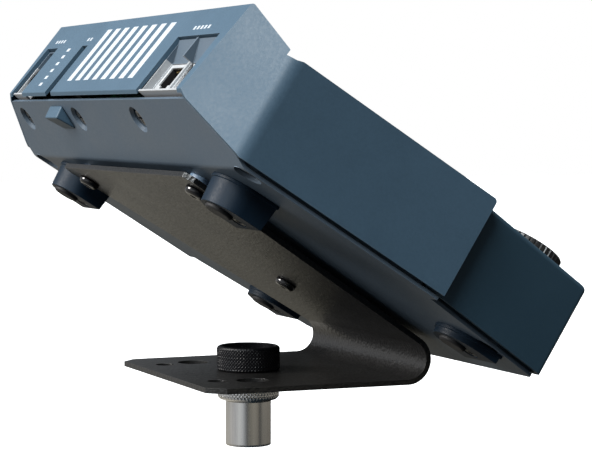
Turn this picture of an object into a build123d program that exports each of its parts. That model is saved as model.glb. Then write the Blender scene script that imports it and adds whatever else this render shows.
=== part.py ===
from build123d import *
from math import atan2, cos, degrees, hypot, radians, sin
import os

# Tilted control console on a bent sheet-steel bracket, clamped on the threaded top of a stand tube.
#
# Two frames are used. The console frame has x from the rear fold of the bottom towards the front, y across
# the console, and z square to the bottom. The row frame has +Z up the stand tube, with its origin at the
# centre of the tube's lower end. place() takes a piece from the console frame into the row frame.

# ---- driving dimensions, millimetres and degrees ----
TILT = 32.5                 # slope of the console's bottom
HALF_WIDTH = 120.65         # half of the hood's width
HOOD_LENGTH = 88.0          # from the rear fold to the hood's front edge
HOOD_HEIGHT = 38.0
TOTAL_LENGTH = 146.8        # from the rear fold to the front face
SHELL_HEIGHT = 36.0         # front housing, a little lower than the hood
SHELL_REAR_HALF = 115.6     # half width of the front housing where it leaves the hood
SHELL_FRONT_HALF = 99.9    # half width at the front face
SHEET = 1.2                 # painted steel sheet
SHELL_WALL = 1.6
PAN_DROP = 2.0              # how far the pan's bottom stands below the cover's edge
PAN_INSET = 1.4             # the pan's rear corners and front are this far inside the cover
PAN_SIDE_INSET = 2.4        # its sides are further in, and its side flanges further still
PAN_GROOVE = 1.8            # step in from the edge of the pan's bottom to its side flanges
SIDE_NOTCH = (80.5, 89.0)   # gap in each side flange, where the cover ends and the narrower housing starts
PAN_SIDE_TOP = 8.5          # top of the pan's side flanges
GAP = 0.3                   # assembly clearance between separate shells
TOUCH = 0.02                # clearance of pieces that rest on each other

LIP_X, LIP_Z = -20.6, 9.6           # top edge of the rear flange
FACE_LOW_X, FACE_LOW_Z = -23.0, 11.8
FACE_TOP_X, FACE_TOP_Z = -18.0, 48.6
RIDGE_X, RIDGE_Z = -2.8, 39.4       # foot of the raised rear ridge
GROOVE_Z = 37.3             # floor of the small groove between the ridge and the hood top
STEP_X = 2.6
CORNER_REAR_HALF = 101.15           # half width at the lower edge of the rear face
CORNER_SLOPE = 0.848                # growth of half width per mm towards the front, on the corner chamfer

# rear face: y is across, heights are measured up the face from its lower edge, depths square to it
NETWORK_BAY = (-97.0, -57.0)
PHONE_BAY = (84.0, 98.5)
SLOT = (44.5, 51.5)
BAY_TOP = 24.0
BAY_DEPTH = 4.2
RAMP_LOW, RAMP_HIGH = 15.0, 23.4    # heights of the sloping finger ramps over the jacks
RAMP_START = 1.0                    # depth of a ramp's top edge
BEZEL = 0.8                 # bezel sheet
RIB = 1.4                   # bright rib between the jacks
DIVIDER = 0.9               # how far the strip between the two jacks stands off the tray
JACK_SIZE = 16.0            # width of a shielded jack
JACK_HIGH = 13.6
JACK_LOW = 1.2
JACK_FRONT = BAY_DEPTH + 0.2
JACK_HOLLOW = 13.0          # depth of the plug's opening
JACK_Y = (-87.2, -66.8)
PHONE_Y = 91.2
PHONE_UP = 10.0
PHONE_BORE = 3.25           # for a 6.35 mm plug
PHONE_DEPTH = 27.0
PHONE_BODY_RADIUS = 6.4
SEAM_TURN = 180.0           # puts the seam of a rod that runs into the console along its top
POWER_UP = 12.0
CONNECTOR_BOARD_X = 19.0    # depth of the board behind the jacks

# rear flange: screws sit in round recesses, distances are measured up the flange from the fold
RECESS_Y = (94.0, 25.0, -43.5)
RECESS_ALONG = 14.0
RECESS_RADIUS = 4.2
RECESS_DEPTH = 2.6
RECESS_FLARE = 1.1                  # conical flare round the mouth of a recess
PAN_RECESS = ((8.5, 112.0), (122.5, 97.5))   # recesses in the bottom: x, distance from the centre line
HOOK_Y = 44.0
HOOK_HALF = 7.6
HOOK_LOW, HOOK_PEAK, HOOK_HIGH = 9.4, 17.4, 20.2
HOOK_RISE = 4.6

STAND_AXIS_X = 95.6         # the tube's axis meets the collar's lower face here, console frame
STAND_AXIS_Z = -52.8
TUBE_LENGTH = 17.5
TUBE_RADIUS = 8.75
TUBE_WALL = 1.5
COLLAR_RADIUS = 12.0
COLLAR_HEIGHT = 9.4
STUD_RADIUS = 7.94          # 5/8 inch thread, taken at its crest
STUD_RISE = 5.6             # how far the stud stands above the lower plate
NUT_RADIUS = 12.3
NUT_HEIGHT = 9.4
NUT_BORE = 8.0
SEAT_GAP = 0.05             # between the plate and the nut or the collar

PLATE = 2.0                 # bracket sheet
BEND_OUTER = 9.3
UPPER_TOP_Z = -4.6          # upper plate's face towards the console
UPPER_REAR_X = 4.0
UPPER_REAR_HALF = 70.0
BEND_HALF = 52.0
LOWER_REAR_X = -35.0        # row frame, measured from the tube's axis
LOWER_HALF = 51.0
PLATE_CORNER = 6.0
LARGE_HOLE = (-11.0, 31.0, 6.0)      # row-frame x, distance from the centre line, radius
SMALL_HOLE = (-24.0, 28.0, 3.5)

BUTTON_COLUMNS = 8
BUTTON_ROWS = (34.0, 62.0)
BUTTON_PITCH = 24.0
BUTTON_TRAVEL = 1.0
BUTTON_LONG = 14.0
BUTTON_WIDE = 8.0
BUTTON_DEEP = 6.0                   # how far a button reaches below the top face
BUTTON_RISE = 2.2
BUTTON_GAP = 0.35
LENS_OFFSET = 8.2                   # from a button's centre towards the rear
LENS_RADIUS = 1.5
OVERLAY = 0.5                       # thickness of the printed panel
FUNCTION_X = 103.0
KNOB_X = 126.0
KNOB_Y = (-81.5, 0.0, 81.5)
KNOB_RADIUS = 14.0
KNOB_RISE = 5.2
KNOB_RIBS = 40
SHAFT_RADIUS = 3.0

FOOT_REAR = (19.5, 86.0, 10.2)      # centre of the round nose, distance from the centre line, height
FOOT_FRONT = (120.0, 87.5, 3.4)
FOOT_RADIUS = 11.8
FOOT_BACK = 9.5                     # from the nose's centre to the flat back
FOOT_DRAFT = 5.0
FOOT_TOP = -PAN_DROP - TOUCH
FOOT_SCREW_X = 4.4
PAD_X = -4.0
PAD_RADIUS = 5.2
PAD_DROP = 1.3
FOOT_LIP = 0.35                     # the lip round a foot's top

MAIN_BOARD_Z = 10.4
CONTROL_BOARD_Z = 26.0
BOARD = 1.6


# ---- helpers ----
def place(shape):
    """Take a shape from the console frame into the row frame."""
    seat = Pos(0, 0, TUBE_LENGTH) * Rot(0, TILT, 0) * Pos(-STAND_AXIS_X, 0, -STAND_AXIS_Z)
    return seat * shape


def side_prism(points, half, radius=0.0, y=0.0):
    """A closed x-z outline carried half to each side of y."""
    radii = radius if isinstance(radius, (list, tuple)) else [radius] * len(points)
    outline = FilletPolyline(*points, radius=radii, close=True)
    return Pos(0, y, 0) * extrude(make_face(Plane.XZ * outline), amount=half, both=True)


def plan_prism(points, low, high, radius=0.0):
    """A closed x-y outline carried from z = low to z = high."""
    radii = radius if isinstance(radius, (list, tuple)) else [radius] * len(points)
    outline = FilletPolyline(*points, radius=radii, close=True)
    middle = (low + high) / 2
    return Pos(0, 0, middle) * extrude(make_face(outline), amount=(high - low) / 2, both=True)


def block(x0, x1, y0, y1, z0, z1):
    """A box between two corners."""
    return Pos((x0 + x1) / 2, (y0 + y1) / 2, (z0 + z1) / 2) * Box(x1 - x0, y1 - y0, z1 - z0)


def rod(x, y, z0, z1, radius):
    """A round rod along z."""
    return Pos(x, y, (z0 + z1) / 2) * Cylinder(radius, z1 - z0)


def corner_half(x):
    """Half width of the corner chamfer at x."""
    return CORNER_REAR_HALF + CORNER_SLOPE * (x - FACE_LOW_X)


def group(solids):
    return Compound(children=list(solids))


# ---- hood, pan and front housing ----
def hood_plan(inset, low, high, front):
    """The hood's plan outline, brought in by inset on every side that shows."""
    lean = hypot(1, CORNER_SLOPE) * inset
    rear = -40.0
    half = HALF_WIDTH - inset
    turn_x = FACE_LOW_X + (half + lean - CORNER_REAR_HALF) / CORNER_SLOPE
    rear_half = corner_half(rear) - lean
    points = [(rear, -rear_half), (turn_x, -half), (front, -half),
              (front, half), (turn_x, half), (rear, rear_half)]
    bend = 9.0 - inset
    return plan_prism(points, low, high, [0, bend, 0, 0, bend, 0])


def hood_profile():
    return [(0, 0), (LIP_X, LIP_Z), (FACE_LOW_X, FACE_LOW_Z), (FACE_TOP_X, FACE_TOP_Z),
            (RIDGE_X, RIDGE_Z), (RIDGE_X - 0.2, GROOVE_Z), (0.2, GROOVE_Z), (STEP_X, HOOD_HEIGHT),
            (HOOD_LENGTH, HOOD_HEIGHT), (HOOD_LENGTH, 0)]


def hood_block():
    """The hood's outer form as one block."""
    body = side_prism(hood_profile(), HALF_WIDTH, [0, 0, 0.6, 0.7, 0.5, 0, 0, 0.8, 1.5, 0])
    return body & hood_plan(0, -10, 60, HOOD_LENGTH)


def hood_inside():
    """The hollow of the hood, open below and at the front."""
    face_x, face_z = FACE_TOP_X + 1.7, FACE_TOP_Z - 2.6
    low_x = FACE_LOW_X + 1.45
    points = [(8, -12), (low_x - 1.5, 4.0), (low_x, FACE_LOW_Z + 0.5), (face_x, face_z),
              (RIDGE_X - 2.0, HOOD_HEIGHT - 2 * SHEET), (STEP_X + 1.0, HOOD_HEIGHT - 2 * SHEET),
              (STEP_X + 2.0, HOOD_HEIGHT - SHEET),
              (HOOD_LENGTH + 5, HOOD_HEIGHT - SHEET), (HOOD_LENGTH + 5, -12)]
    body = side_prism(points, HALF_WIDTH)
    return body & hood_plan(SHEET, -15, 60, HOOD_LENGTH + 6)


def in_face(shape):
    """Take a shape from the rear face's frame: x into the console, z up the face from its lower edge."""
    lean = degrees(atan2(FACE_TOP_X - FACE_LOW_X, FACE_TOP_Z - FACE_LOW_Z))
    return Pos(FACE_LOW_X, 0, FACE_LOW_Z) * Rot(0, lean, 0) * shape


def face_cut(y0, y1, low, high):
    """A cutter through the rear face between y0 and y1, low and high."""
    return in_face(block(-8, 8, y0, y1, low, high))


def button_places():
    """Centres of the channel buttons, row by row."""
    first = -(BUTTON_COLUMNS - 1) / 2 * BUTTON_PITCH
    return [(x, first + column * BUTTON_PITCH) for x in BUTTON_ROWS for column in range(BUTTON_COLUMNS)]


def function_places():
    return [(FUNCTION_X, -44.0), (FUNCTION_X, 44.0)]


def button_hole(x, y, low, high):
    half_x = BUTTON_WIDE / 2 + BUTTON_GAP
    half_y = BUTTON_LONG / 2 + BUTTON_GAP
    return block(x - half_x, x + half_x, y - half_y, y + half_y, low, high)


def cover():
    body = hood_block() - hood_inside()
    for low, high in (NETWORK_BAY, PHONE_BAY):
        body -= face_cut(low, high, -6.0, BAY_TOP)
    body -= face_cut(SLOT[0], SLOT[1], -6.0, BAY_TOP)
    for x, y in button_places():
        body -= button_hole(x, y, 30, 45)
        body -= rod(x - LENS_OFFSET, y, 30, 45, LENS_RADIUS + 0.05)
    return body


def pan_plan(corner_inset, side_inset, low, high):
    """Plan outline of the pan: the hood's rear part and the tapering front part."""
    lean = hypot(1, CORNER_SLOPE) * corner_inset
    half = HALF_WIDTH - side_inset
    front = TOTAL_LENGTH - corner_inset
    turn_x = FACE_LOW_X + (half + lean - CORNER_REAR_HALF) / CORNER_SLOPE
    rear_half = corner_half(-30.0) - lean
    shell_half = SHELL_REAR_HALF - side_inset
    front_half = SHELL_FRONT_HALF - side_inset
    ahead = HOOD_LENGTH - 0.4
    points = [(-30.0, -rear_half), (turn_x, -half), (ahead, -half), (ahead, -shell_half),
              (front, -front_half), (front, front_half), (ahead, shell_half), (ahead, half),
              (turn_x, half), (-30.0, rear_half)]
    return plan_prism(points, low, high, [0, 6, 0, 0, 3, 3, 0, 0, 6, 0])


def flange_frame():
    """Unit vector up the rear flange and the unit normal that points into the console, as x and z pairs."""
    run = hypot(LIP_X, LIP_Z)
    return (LIP_X / run, LIP_Z / run), (LIP_Z / run, -LIP_X / run)


def pan_sheet():
    """Bottom and rear flange as one bent sheet."""
    up, inward = flange_frame()
    front = TOTAL_LENGTH - PAN_INSET
    lip = hypot(LIP_X, LIP_Z) - GAP
    outer_fold = -PAN_DROP / up[1]
    inner_fold = (-PAN_DROP + SHEET - SHEET * inward[1]) / up[1]
    points = [(up[0] * lip, up[1] * lip), (up[0] * outer_fold, -PAN_DROP), (front, -PAN_DROP),
              (front, -PAN_DROP + SHEET),
              (inward[0] * SHEET + up[0] * inner_fold, -PAN_DROP + SHEET),
              (inward[0] * SHEET + up[0] * lip, inward[1] * SHEET + up[1] * lip)]
    sheet = side_prism(points, HALF_WIDTH, [0, 5.0, 0, 0, 3.8, 0])
    return sheet & pan_plan(PAN_INSET, PAN_SIDE_INSET, -10, 30)


def pan_sides():
    """Upturned flanges inside the cover and the front housing, set in from the edge of the bottom sheet."""
    up, _ = flange_frame()
    front = TOTAL_LENGTH + 1
    lip = hypot(LIP_X, LIP_Z) - GAP
    bottom = -PAN_DROP + SHEET / 2
    fold = bottom / up[1]
    region = side_prism([(up[0] * lip + 0.4, up[1] * lip + 0.6), (up[0] * fold + 1.0, bottom),
                         (front, bottom), (front, PAN_SIDE_TOP), (-12.0, PAN_SIDE_TOP)], HALF_WIDTH)
    corner, side = PAN_INSET + 0.4, PAN_SIDE_INSET + PAN_GROOVE
    ring = pan_plan(corner, side, -10, 30) - pan_plan(corner + SHEET, side + SHEET, -11, 31)
    flanges = region & ring
    for y in (-HALF_WIDTH, HALF_WIDTH):
        flanges -= block(SIDE_NOTCH[0], SIDE_NOTCH[1], y - 9, y + 9, bottom + SHEET, PAN_SIDE_TOP + 1)
    return flanges


def bottom_place(x, y):
    """Location on the console's bottom with z pointing out of the console."""
    return Pos(x, y, -PAN_DROP) * Rot(180, 0, 0)


def recess_places():
    """Every screw recess: three in the rear flange and four in the bottom."""
    places = [flange_place(y, RECESS_ALONG) for y in RECESS_Y]
    for x, half in PAN_RECESS:
        places.append(bottom_place(x, -half))
        places.append(bottom_place(x, half))
    return places


def flange_place(y, along):
    """Location on the rear flange with z pointing out of the console."""
    up, _ = flange_frame()
    lean = degrees(atan2(LIP_Z, -LIP_X))
    return Pos(up[0] * along, y, up[1] * along) * Rot(0, lean + 180.0, 0)


def base_pan():
    body = pan_sheet() + pan_sides()
    for seat in recess_places():
        body += seat * rod(0, 0, -RECESS_DEPTH - 1.0, -0.2, RECESS_RADIUS + 1.0)
        body -= seat * rod(0, 0, -RECESS_DEPTH, 1, RECESS_RADIUS)
        flare = Cone(RECESS_RADIUS, RECESS_RADIUS + RECESS_FLARE, RECESS_FLARE)
        body -= seat * Pos(0, 0, -RECESS_FLARE / 2) * flare
        body -= seat * rod(0, 0, -RECESS_DEPTH - 2, 1, 1.7)
    return body


def front_shell():
    rear = HOOD_LENGTH - 6.0
    growth = (SHELL_REAR_HALF - SHELL_FRONT_HALF) / (TOTAL_LENGTH - HOOD_LENGTH)
    rear_half = SHELL_REAR_HALF + growth * (HOOD_LENGTH - rear)
    outer = plan_prism([(rear, -rear_half), (TOTAL_LENGTH, -SHELL_FRONT_HALF),
                        (TOTAL_LENGTH, SHELL_FRONT_HALF), (rear, rear_half)], 0, SHELL_HEIGHT, [0, 3, 3, 0])
    top_edges = outer.faces().sort_by(Axis.Z)[-1].edges().sort_by(Axis.X)[1:]
    outer = fillet(top_edges, 2.0)
    wall = SHELL_WALL
    back, front = rear - 5, TOTAL_LENGTH - wall
    back_half, front_half = rear_half + growth * 5 - wall, SHELL_FRONT_HALF - wall
    inner = plan_prism([(back, -back_half), (front, -front_half), (front, front_half), (back, back_half)],
                       -5, SHELL_HEIGHT - wall, [0, 2, 2, 0])
    body = outer - inner
    for y in KNOB_Y:
        body -= rod(KNOB_X, y, 30, 40, SHAFT_RADIUS + 0.6)
    for x, y in function_places():
        body -= button_hole(x, y, 30, 45)
    return body


def control_overlay():
    """Printed panel on the hood's top, with an opening for each button and lens."""
    body = plan_prism([(10, -104), (82, -104), (82, 104), (10, 104)], HOOD_HEIGHT + TOUCH,
                      HOOD_HEIGHT + OVERLAY, 3.0)
    for x, y in button_places():
        body -= button_hole(x, y, 30, 45)
        body -= rod(x - LENS_OFFSET, y, 30, 45, LENS_RADIUS + 0.05)
    return body


# ---- rear connectors, built in the rear face's frame ----
def bezel(bay):
    """Shallow steel tray behind a bay: a back plate that reaches past the bay, and a rim inside it."""
    low, high = bay
    inner_low, inner_high = low + GAP, high - GAP
    deep = BAY_DEPTH + BEZEL
    tray = block(BAY_DEPTH, deep, low - 1.5, high + 1.5, BEZEL / 2, BAY_TOP + 1.5)
    tray += block(2 * BEZEL, deep, inner_high - BEZEL, inner_high, 0.0, BAY_TOP - GAP)
    tray += block(2 * BEZEL, deep, inner_low, inner_high, BAY_TOP - GAP - BEZEL, BAY_TOP - GAP)
    tray += block(BEZEL, deep, inner_low, inner_high, 0.0, BEZEL)
    return tray


def connector_bezels():
    """Tray of the network bay, with a finger ramp and a window for each jack, and tray of the phone bay."""
    network = bezel(NETWORK_BAY)
    middle = (JACK_Y[0] + JACK_Y[1]) / 2
    low, high = NETWORK_BAY
    ramp = [(BAY_DEPTH + BEZEL / 2, RAMP_LOW), (RAMP_START, RAMP_HIGH), (BAY_DEPTH + BEZEL / 2, RAMP_HIGH)]
    network += side_prism(ramp, (high - low) / 2 - 2 * GAP, 0.0, (high + low) / 2)
    network += block(0.3, BAY_DEPTH + BEZEL, middle - RIB / 2, middle + RIB / 2, RAMP_LOW, BAY_TOP - 2 * GAP)
    network += block(BAY_DEPTH - DIVIDER, BAY_DEPTH + BEZEL, middle - RIB / 2, middle + RIB / 2,
                     BEZEL / 4, RAMP_LOW + TOUCH)
    for y in JACK_Y:
        half = JACK_SIZE / 2 + 0.2
        network -= block(BAY_DEPTH - 2.0, BAY_DEPTH + 2, y - half, y + half,
                         JACK_LOW - 0.2, JACK_LOW + JACK_HIGH + 0.2)
    phone = bezel(PHONE_BAY)
    phone -= in_line(PHONE_Y, PHONE_UP, -2, 10, 4.6)
    return in_face(group([network, phone]))


def in_line(y, up, x0, x1, radius):
    """A round rod along the rear face's inward direction."""
    return Pos((x0 + x1) / 2, y, up) * Rot(0, 90, 0) * Rot(0, 0, SEAM_TURN) * Cylinder(radius, x1 - x0)


def network_jack(y):
    """Shielded eight-contact jack: a metal box with the stepped plug opening in its rear face."""
    low = JACK_LOW
    end = JACK_FRONT + JACK_HOLLOW
    back = CONNECTOR_BOARD_X - TOUCH
    body = block(JACK_FRONT, back, y - JACK_SIZE / 2, y + JACK_SIZE / 2, low, low + JACK_HIGH)
    body -= block(JACK_FRONT - 1, end, y - 6.1, y + 6.1, low + 4.2, low + 12.2)
    body -= block(JACK_FRONT - 1, end, y - 3.6, y + 3.6, low + 1.4, low + 4.4)
    return in_face(body)


def jack_contacts():
    """Eight spring wires in each jack."""
    wires = []
    top = JACK_LOW + 12.18
    for y in JACK_Y:
        for index in range(8):
            side = y + (index - 3.5) * 1.02
            wires.append(block(JACK_FRONT + 1.5, JACK_FRONT + JACK_HOLLOW - 0.1, side - 0.22, side + 0.22,
                               top - 0.9, top))
    return in_face(group(wires))


def phone_jack():
    """Panel jack for a 6.35 mm plug."""
    body = in_line(PHONE_Y, PHONE_UP, BAY_DEPTH + 1.0, PHONE_DEPTH + 3.0, PHONE_BODY_RADIUS)
    body += in_line(PHONE_Y, PHONE_UP, 1.6, BAY_DEPTH + 1.2, 4.4)
    body -= in_line(PHONE_Y, PHONE_UP, 0, PHONE_DEPTH, PHONE_BORE)
    return in_face(body)


def power_inlet():
    """Round direct-current inlet behind the narrow slot."""
    middle = (SLOT[0] + SLOT[1]) / 2
    body = block(4.4, CONNECTOR_BOARD_X - TOUCH, middle - 4.5, middle + 4.5, POWER_UP - 5.5, POWER_UP + 5.5)
    body -= in_line(middle, POWER_UP, 3, 14, 3.1)
    body += in_line(middle, POWER_UP, 5, 15, 1.0)
    return in_face(body)


def connector_board():
    """Circuit board that carries the network jacks and the power inlet."""
    board = block(CONNECTOR_BOARD_X, CONNECTOR_BOARD_X + BOARD, -98, 58, 0.5, 25)
    return in_face(board)


def cable_hook():
    """Wedge that rises off the rear flange towards its top, to loop a power lead round."""
    ramp = make_face(Polyline((HOOK_LOW, -TOUCH), (HOOK_HIGH, -TOUCH), (HOOK_PEAK, -HOOK_RISE), close=True))
    frame = Plane(origin=(0, 0, 0), x_dir=(LIP_X, 0, LIP_Z), z_dir=(0, 1, 0))
    return Pos(0, HOOK_Y, 0) * extrude(frame * ramp, amount=HOOK_HALF, both=True)


def cover_screws():
    """Cross-head screws in the recesses of the rear flange and the bottom."""
    screws = []
    for seat in recess_places():
        screw = rod(0, 0, -RECESS_DEPTH + TOUCH, -RECESS_DEPTH + 1.5, 3.1)
        screw += rod(0, 0, -RECESS_DEPTH - 3.0, -RECESS_DEPTH + 0.1, 1.5)
        for across, along in ((4.2, 0.8), (0.8, 4.2)):
            screw -= Pos(0, 0, -RECESS_DEPTH + 1.3) * Box(across, along, 1.2)
        screws.append(seat * screw)
    return group(screws)


# ---- feet ----
def foot_places():
    """Nose centre, side and height of the four feet."""
    places = []
    for x, half, height in (FOOT_REAR, FOOT_FRONT):
        for side in (-1, 1):
            places.append((x, side * half, height))
    return places


def foot_form(radius, back, low, high, draft):
    """D-shaped block with its round end to the rear, narrowing downwards by the draft angle."""
    outline = Polyline((0, -radius), (back, -radius), (back, radius), (0, radius))
    nose = RadiusArc((0, radius), (0, -radius), -radius)
    return Pos(0, 0, high) * extrude(make_face(outline + nose), amount=low - high, taper=draft)


def foot(x, y, height):
    low = FOOT_TOP - height
    body = foot_form(FOOT_RADIUS, FOOT_BACK, low, FOOT_TOP, FOOT_DRAFT)
    body += foot_form(FOOT_RADIUS + FOOT_LIP, FOOT_BACK + FOOT_LIP, FOOT_TOP - 1.2, FOOT_TOP, 0)
    body -= rod(PAD_X, 0, low - 1, low + 1.0, PAD_RADIUS + 0.1)
    body -= rod(FOOT_SCREW_X, 0, low - 1, low + 1.6, 2.9)
    body -= rod(FOOT_SCREW_X, 0, low - 1, FOOT_TOP + 1, 1.6)
    return Pos(x, y, 0) * body


def foot_pad(x, y, height):
    low = FOOT_TOP - height - PAD_DROP
    pad = rod(x + PAD_X, y, low, FOOT_TOP - height + 0.95, PAD_RADIUS)
    return fillet(pad.edges().filter_by(GeomType.CIRCLE).sort_by(Axis.Z)[0], 1.0)


def foot_screws():
    screws = []
    for x, y, height in foot_places():
        low = FOOT_TOP - height
        screw = rod(x + FOOT_SCREW_X, y, low + 0.3, low + 1.58, 2.7)
        screw += rod(x + FOOT_SCREW_X, y, low + 1.5, FOOT_TOP - 0.1, 1.5)
        screw -= rod(x + FOOT_SCREW_X, y, low, low + 1.0, 1.2)
        screws.append(screw)
    return group(screws)


# ---- bracket and stand ----
def bend_axis():
    """Row-frame x and z of the bend's axis: tangent to both plates."""
    lower_z = TUBE_LENGTH + COLLAR_HEIGHT + SEAT_GAP
    axis_z = lower_z + BEND_OUTER
    turn = radians(TILT)
    console_z = UPPER_TOP_Z - BEND_OUTER
    rise = axis_z - TUBE_LENGTH
    axis_x = ((console_z - STAND_AXIS_Z) - rise * cos(turn)) / sin(turn)
    return axis_x, axis_z


def bracket_screw_places():
    return [(14.0, -60.0), (14.0, 60.0), (85.0, 0.0)]


def bracket():
    axis_x, axis_z = bend_axis()
    lower_z = axis_z - BEND_OUTER
    inner = BEND_OUTER - PLATE
    turn = radians(TILT)
    # lower plate, its rear corners cut off
    rear, cut = LOWER_REAR_X, LOWER_REAR_X + PLATE_CORNER
    side = LOWER_HALF - PLATE_CORNER
    lower = plan_prism([(rear, -side), (cut, -LOWER_HALF), (axis_x, -BEND_HALF), (axis_x, BEND_HALF),
                        (cut, LOWER_HALF), (rear, side)], lower_z, lower_z + PLATE)
    lower -= rod(0, 0, lower_z - 1, lower_z + PLATE + 1, STUD_RADIUS + 0.36)
    for side in (-1, 1):
        for x, half, radius in (LARGE_HOLE, SMALL_HOLE):
            lower -= rod(x, side * half, lower_z - 1, lower_z + PLATE + 1, radius)
    # bend: a ring sector between the two plates
    ring = Cylinder(BEND_OUTER, 2 * BEND_HALF) - Cylinder(inner, 2 * BEND_HALF + 2)
    ring = Pos(axis_x, 0, axis_z) * Rot(90, 0, 0) * ring
    reach = 40.0
    top_x, top_z = axis_x + sin(turn) * reach, axis_z + cos(turn) * reach
    wedge = side_prism([(axis_x, axis_z), (axis_x, axis_z - reach), (axis_x + reach, axis_z - reach),
                        (axis_x + 2 * reach, axis_z), (top_x, top_z)], BEND_HALF + 1)
    bend = ring & wedge
    # upper plate, tapering from the rear to the bend
    start_x = STAND_AXIS_X + axis_x * cos(turn) - (axis_z - TUBE_LENGTH) * sin(turn)
    half = UPPER_REAR_HALF
    upper = plan_prism([(UPPER_REAR_X, -half + PLATE_CORNER * 0.4), (UPPER_REAR_X + 4.0, -half),
                        (start_x, -BEND_HALF), (start_x, BEND_HALF),
                        (UPPER_REAR_X + 4.0, half), (UPPER_REAR_X, half - PLATE_CORNER * 0.4)],
                       UPPER_TOP_Z - PLATE, UPPER_TOP_Z)
    for x, y in bracket_screw_places():
        upper -= rod(x, y, UPPER_TOP_Z - PLATE - 1, UPPER_TOP_Z + 1, 2.2)
    return lower + bend + place(upper)


def bracket_spacers():
    rings = []
    for x, y in bracket_screw_places():
        ring = rod(x, y, UPPER_TOP_Z + TOUCH, -PAN_DROP - TOUCH, 5.0) - rod(x, y, UPPER_TOP_Z - 1, 1, 2.2)
        rings.append(ring)
    return group(rings)


def bracket_screws():
    screws = []
    low = UPPER_TOP_Z - PLATE
    for x, y in bracket_screw_places():
        head = rod(x, y, low - 2.4, low - 0.02, 4.2)
        head = fillet(head.edges().filter_by(GeomType.CIRCLE).sort_by(Axis.Z)[0], 1.8)
        shank = rod(x, y, low - 0.2, -PAN_DROP - 0.05, 1.95)
        screws.append(head + shank - rod(x, y, low - 3, low - 1.1, 1.3))
    return group(screws)


def stand_tube():
    outer = rod(0, 0, 0, TUBE_LENGTH, TUBE_RADIUS)
    return outer - rod(0, 0, -1, TUBE_LENGTH + 1, TUBE_RADIUS - TUBE_WALL)


def knurled(radius, low, high, teeth, depth):
    """A ring blank with straight grooves round it."""
    body = rod(0, 0, low, high, radius)
    body = chamfer(body.edges().filter_by(GeomType.CIRCLE), 0.7)
    step = 360.0 / teeth
    groove = Pos(radius + 0.25, 0, (low + high) / 2) * Rot(0, 0, 45) * Box(depth, depth, high - low + 2)
    for index in range(teeth):
        body -= Rot(0, 0, index * step) * groove
    return body


def stand_collar():
    low = TUBE_LENGTH + 0.02
    body = knurled(COLLAR_RADIUS, low, TUBE_LENGTH + COLLAR_HEIGHT, 36, 1.2)
    return body - rod(0, 0, low - 1, TUBE_LENGTH + COLLAR_HEIGHT + 1, STUD_RADIUS + 0.02)


def stand_stud():
    """Threaded spigot: root diameter core with raised rings for the thread."""
    seat = TUBE_LENGTH + COLLAR_HEIGHT + SEAT_GAP + PLATE
    low = TUBE_LENGTH - 12.0
    body = rod(0, 0, TUBE_LENGTH + 0.5, seat + STUD_RISE, STUD_RADIUS)
    body = chamfer(body.edges().filter_by(GeomType.CIRCLE).sort_by(Axis.Z)[-1], 0.8)
    body += rod(0, 0, low, TUBE_LENGTH + 1, TUBE_RADIUS - TUBE_WALL - 0.02)
    return body - rod(0, 0, low - 1, seat + STUD_RISE + 1, 4.5)


def stand_nut():
    low = TUBE_LENGTH + COLLAR_HEIGHT + 2 * SEAT_GAP + PLATE
    body = knurled(NUT_RADIUS, low, low + NUT_HEIGHT, 40, 1.1)
    body -= rod(0, 0, low - 1, low + NUT_HEIGHT + 1, NUT_BORE)
    return body - rod(0, 0, low + NUT_HEIGHT - 3.0, low + NUT_HEIGHT + 1, NUT_BORE + 2.2)


# ---- controls ----
def channel_button(x, y, top):
    """Cap that shows through the panel, with a flange under the panel and a stem to its switch."""
    half_x, half_y = BUTTON_WIDE / 2, BUTTON_LONG / 2
    cap = block(x - half_x, x + half_x, y - half_y, y + half_y, top - BUTTON_DEEP, top + BUTTON_RISE)
    cap = chamfer(cap.faces().sort_by(Axis.Z)[-1].edges(), 0.5)
    under = top - SHELL_WALL - 0.4
    wide_x, wide_y = half_x + 1.2, half_y + 1.2
    flange = block(x - wide_x, x + wide_x, y - wide_y, y + wide_y, under - 1.2, under - 0.1)
    return cap + flange


def button_switch(x, y, top):
    """Push switch on the control board, its plunger just clear of the button."""
    board_top = CONTROL_BOARD_Z + BOARD
    plunger_top = top - BUTTON_DEEP - BUTTON_TRAVEL - 0.15
    body = block(x - 3, x + 3, y - 3, y + 3, board_top + TOUCH, plunger_top - 0.6)
    return body + rod(x, y, plunger_top - 1.2, plunger_top, 1.6)


def indicator_lenses():
    lenses = []
    for x, y in button_places():
        lens = rod(x - LENS_OFFSET, y, CONTROL_BOARD_Z + BOARD + 2, HOOD_HEIGHT + OVERLAY + 0.5, LENS_RADIUS)
        lenses.append(fillet(lens.edges().filter_by(GeomType.CIRCLE).sort_by(Axis.Z)[-1], 0.5))
    return group(lenses)


def knob(y):
    """Low black knob with ribs round its edge and a line on top."""
    low = SHELL_HEIGHT + 0.5
    high = SHELL_HEIGHT + KNOB_RISE
    body = rod(KNOB_X, y, low, high, KNOB_RADIUS)
    body = chamfer(body.edges().filter_by(GeomType.CIRCLE).sort_by(Axis.Z)[-1], 0.6)
    for index in range(KNOB_RIBS):
        groove = Pos(KNOB_RADIUS + 0.2, 0, (low + high) / 2) * Rot(0, 0, 45) * Box(0.9, 0.9, high - low + 2)
        body -= Pos(KNOB_X, y, 0) * Rot(0, 0, index * 360.0 / KNOB_RIBS) * groove
    body -= block(KNOB_X - KNOB_RADIUS, KNOB_X - 3.0, y - 0.5, y + 0.5, high - 0.5, high + 1)
    return body - rod(KNOB_X, y, low - 1, high - 1.2, SHAFT_RADIUS + 0.02)


def knob_shaft(y):
    return rod(KNOB_X, y, CONTROL_BOARD_Z + BOARD + 3.0, SHELL_HEIGHT + KNOB_RISE - 1.25, SHAFT_RADIUS)


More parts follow.
